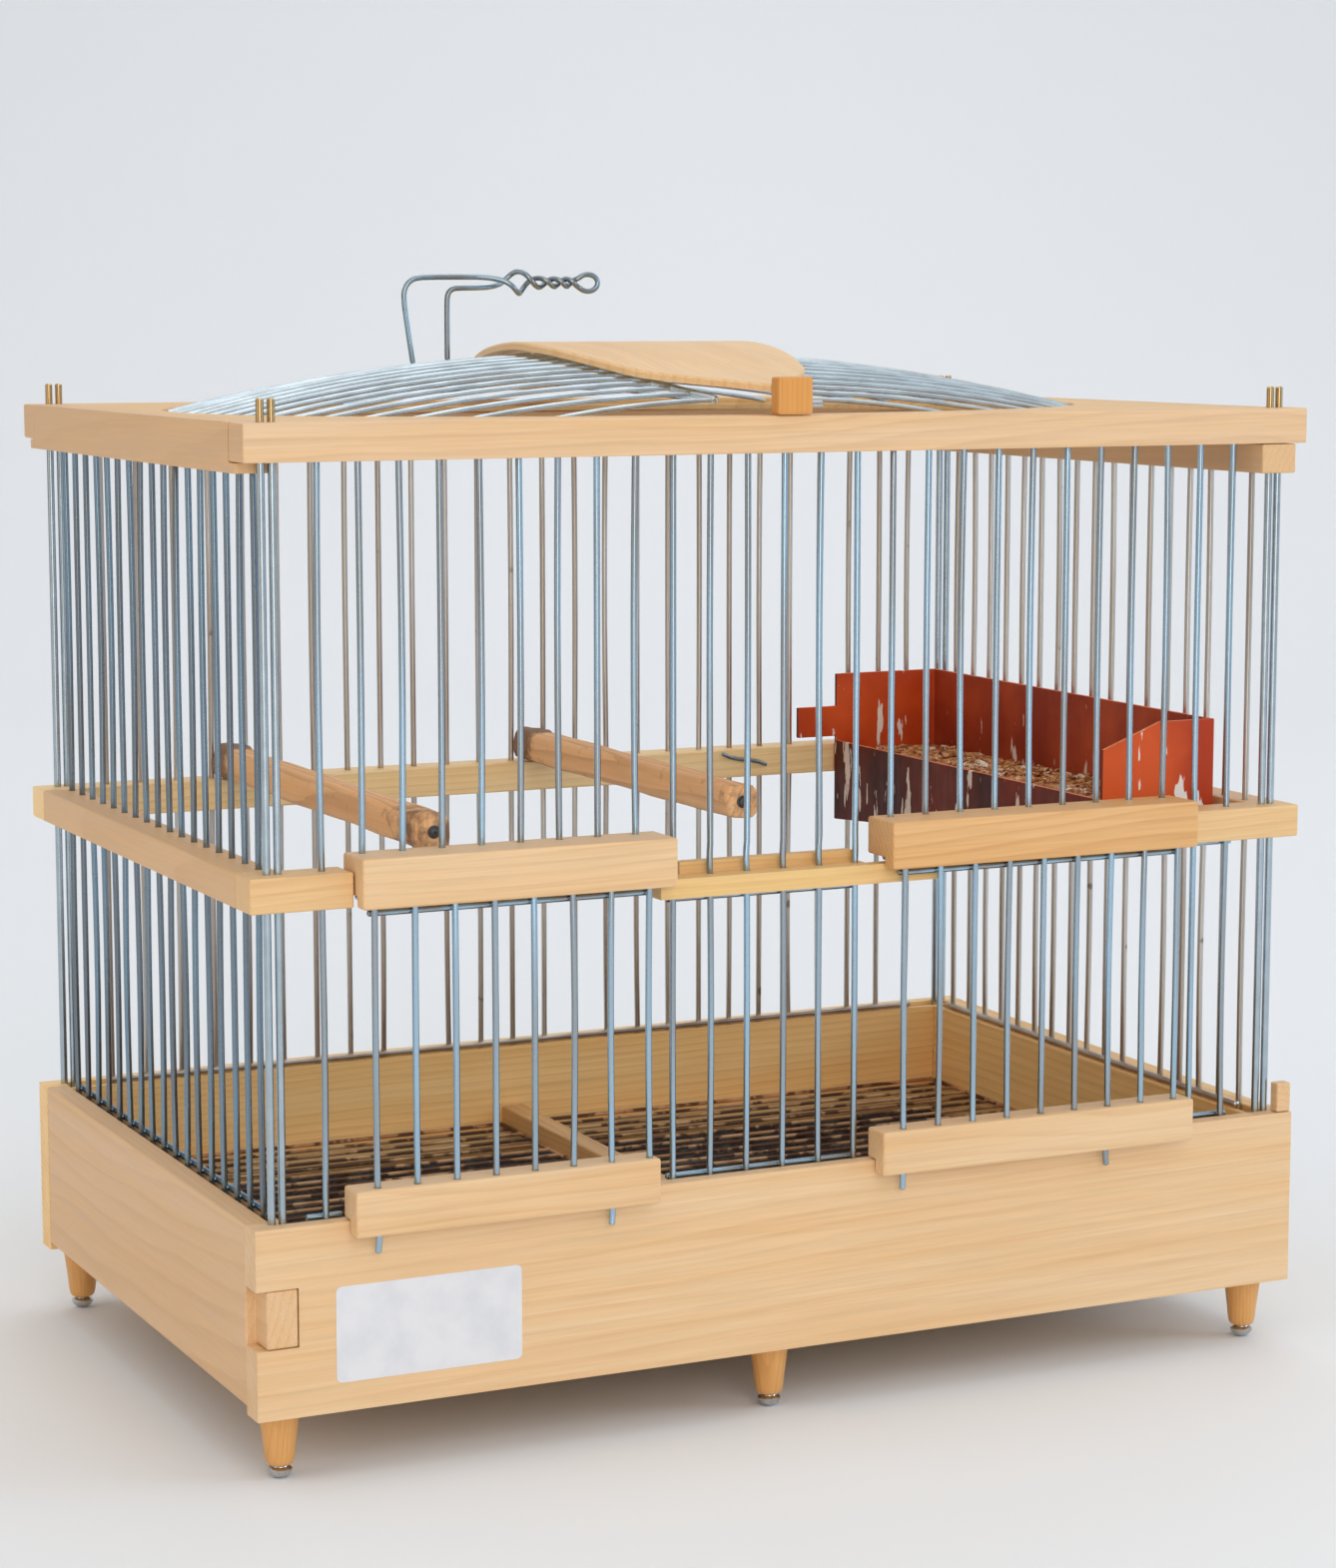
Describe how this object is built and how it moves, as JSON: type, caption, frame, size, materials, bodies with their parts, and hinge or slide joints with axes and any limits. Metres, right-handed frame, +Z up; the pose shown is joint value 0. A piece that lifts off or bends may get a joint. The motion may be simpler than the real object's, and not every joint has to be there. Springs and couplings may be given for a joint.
{
  "type": "canary breeding cage",
  "caption": "Rectangular pine and wire bird cage with lift-up doors, low domed wire roof, slide-out sand tray, perches, hook-on seed trough and twisted wire hanger.",
  "frame": {"origin": "middle of the outline, on the floor under the feet", "axes": "+X along the front to the right, +Y from the front to the back, +Z up"},
  "size_m": [0.45, 0.297, 0.4417],
  "materials": {
    "pine_boards": "pale knotty pine under clear varnish, satin",
    "pine_rails": "planed straight-grained pine, satin varnish",
    "plywood": "thin plywood, raw",
    "turned_beech": "turned hardwood, orange varnish",
    "perch_wood": "rounded raw wood, worn and darkened",
    "galvanised_wire": "galvanised steel wire, dulled",
    "rusted_wire": "thin steel wire gone brown with rust",
    "bright_steel": "nickel-plated steel rod, domed ends",
    "zinc_sheet": "folded galvanised sheet",
    "red_plastic": "moulded brick-red plastic, glossy",
    "seed_mix": "loose seed and husk, matt"
  },
  "bodies": {
    "cage": {"base_front_board": "pine_boards", "base_back_board": "pine_boards", "base_left_board": "pine_boards", "base_right_board": "pine_boards", "corner_block": "pine_boards", "floor_divider": "pine_boards", "mid_rail_left": "pine_rails", "mid_rail_right": "pine_rails", "mid_rail_back": "pine_rails", "mid_rail_front_left": "pine_rails", "mid_rail_front_right": "pine_rails", "mid_rail_front_centre": "pine_rails", "top_rail_front": "pine_rails", "top_rail_back": "pine_rails", "top_rail_left": "pine_rails", "top_rail_right": "pine_rails", "roof_board": "pine_rails", "crown_board": "pine_rails", "base_bottom_panel": "plywood", "foot_front_left": "turned_beech", "foot_front_middle": "turned_beech", "foot_front_right": "turned_beech", "foot_back_left": "turned_beech", "foot_back_middle": "turned_beech", "foot_back_right": "turned_beech", "crown_block": "turned_beech", "perch_left": "perch_wood", "perch_right": "perch_wood", "left_wire_wall": "galvanised_wire", "right_wire_wall": "galvanised_wire", "back_wire_wall": "galvanised_wire", "front_wires_left": "galvanised_wire", "front_wires_centre": "galvanised_wire", "front_wires_right": "galvanised_wire", "front_wires_over_left_door": "galvanised_wire", "front_wires_over_right_door": "galvanised_wire", "roof_wires_left_front": "galvanised_wire", "roof_wires_left_back": "galvanised_wire", "roof_wires_right_front": "galvanised_wire", "roof_wires_right_back": "galvanised_wire", "hanger": "galvanised_wire", "floor_grille_left": "rusted_wire", "floor_grille_right": "rusted_wire", "corner_rod_front_left": "bright_steel", "corner_rod_front_right": "bright_steel", "corner_rod_back_left": "bright_steel", "corner_rod_back_right": "bright_steel"},
    "left_door": {"left_door_lower_bar": "pine_rails", "left_door_upper_bar": "pine_rails", "left_door_wires": "galvanised_wire"},
    "right_door": {"right_door_lower_bar": "pine_rails", "right_door_upper_bar": "pine_rails", "right_door_wires": "galvanised_wire"},
    "tray": {"sand_tray": "zinc_sheet", "tray_front": "pine_boards"},
    "feeder": {"seed_trough": "red_plastic", "seed_bed": "seed_mix"}
  },
  "joints": [
    {"name": "left_door_lift", "type": "slide", "parent": "cage", "child": "left_door", "axis": [0, 0, 1], "range_m": [0, 0.095]},
    {"name": "right_door_lift", "type": "slide", "parent": "cage", "child": "right_door", "axis": [0, 0, 1], "range_m": [0, 0.095]},
    {"name": "tray_slide", "type": "slide", "parent": "cage", "child": "tray", "axis": [0, 1, 0], "range_m": [0, 0.2]},
    {"name": "feeder_lift", "type": "slide", "parent": "cage", "child": "feeder", "axis": [0, 0, 1], "range_m": [0, 0.04]}
  ]
}
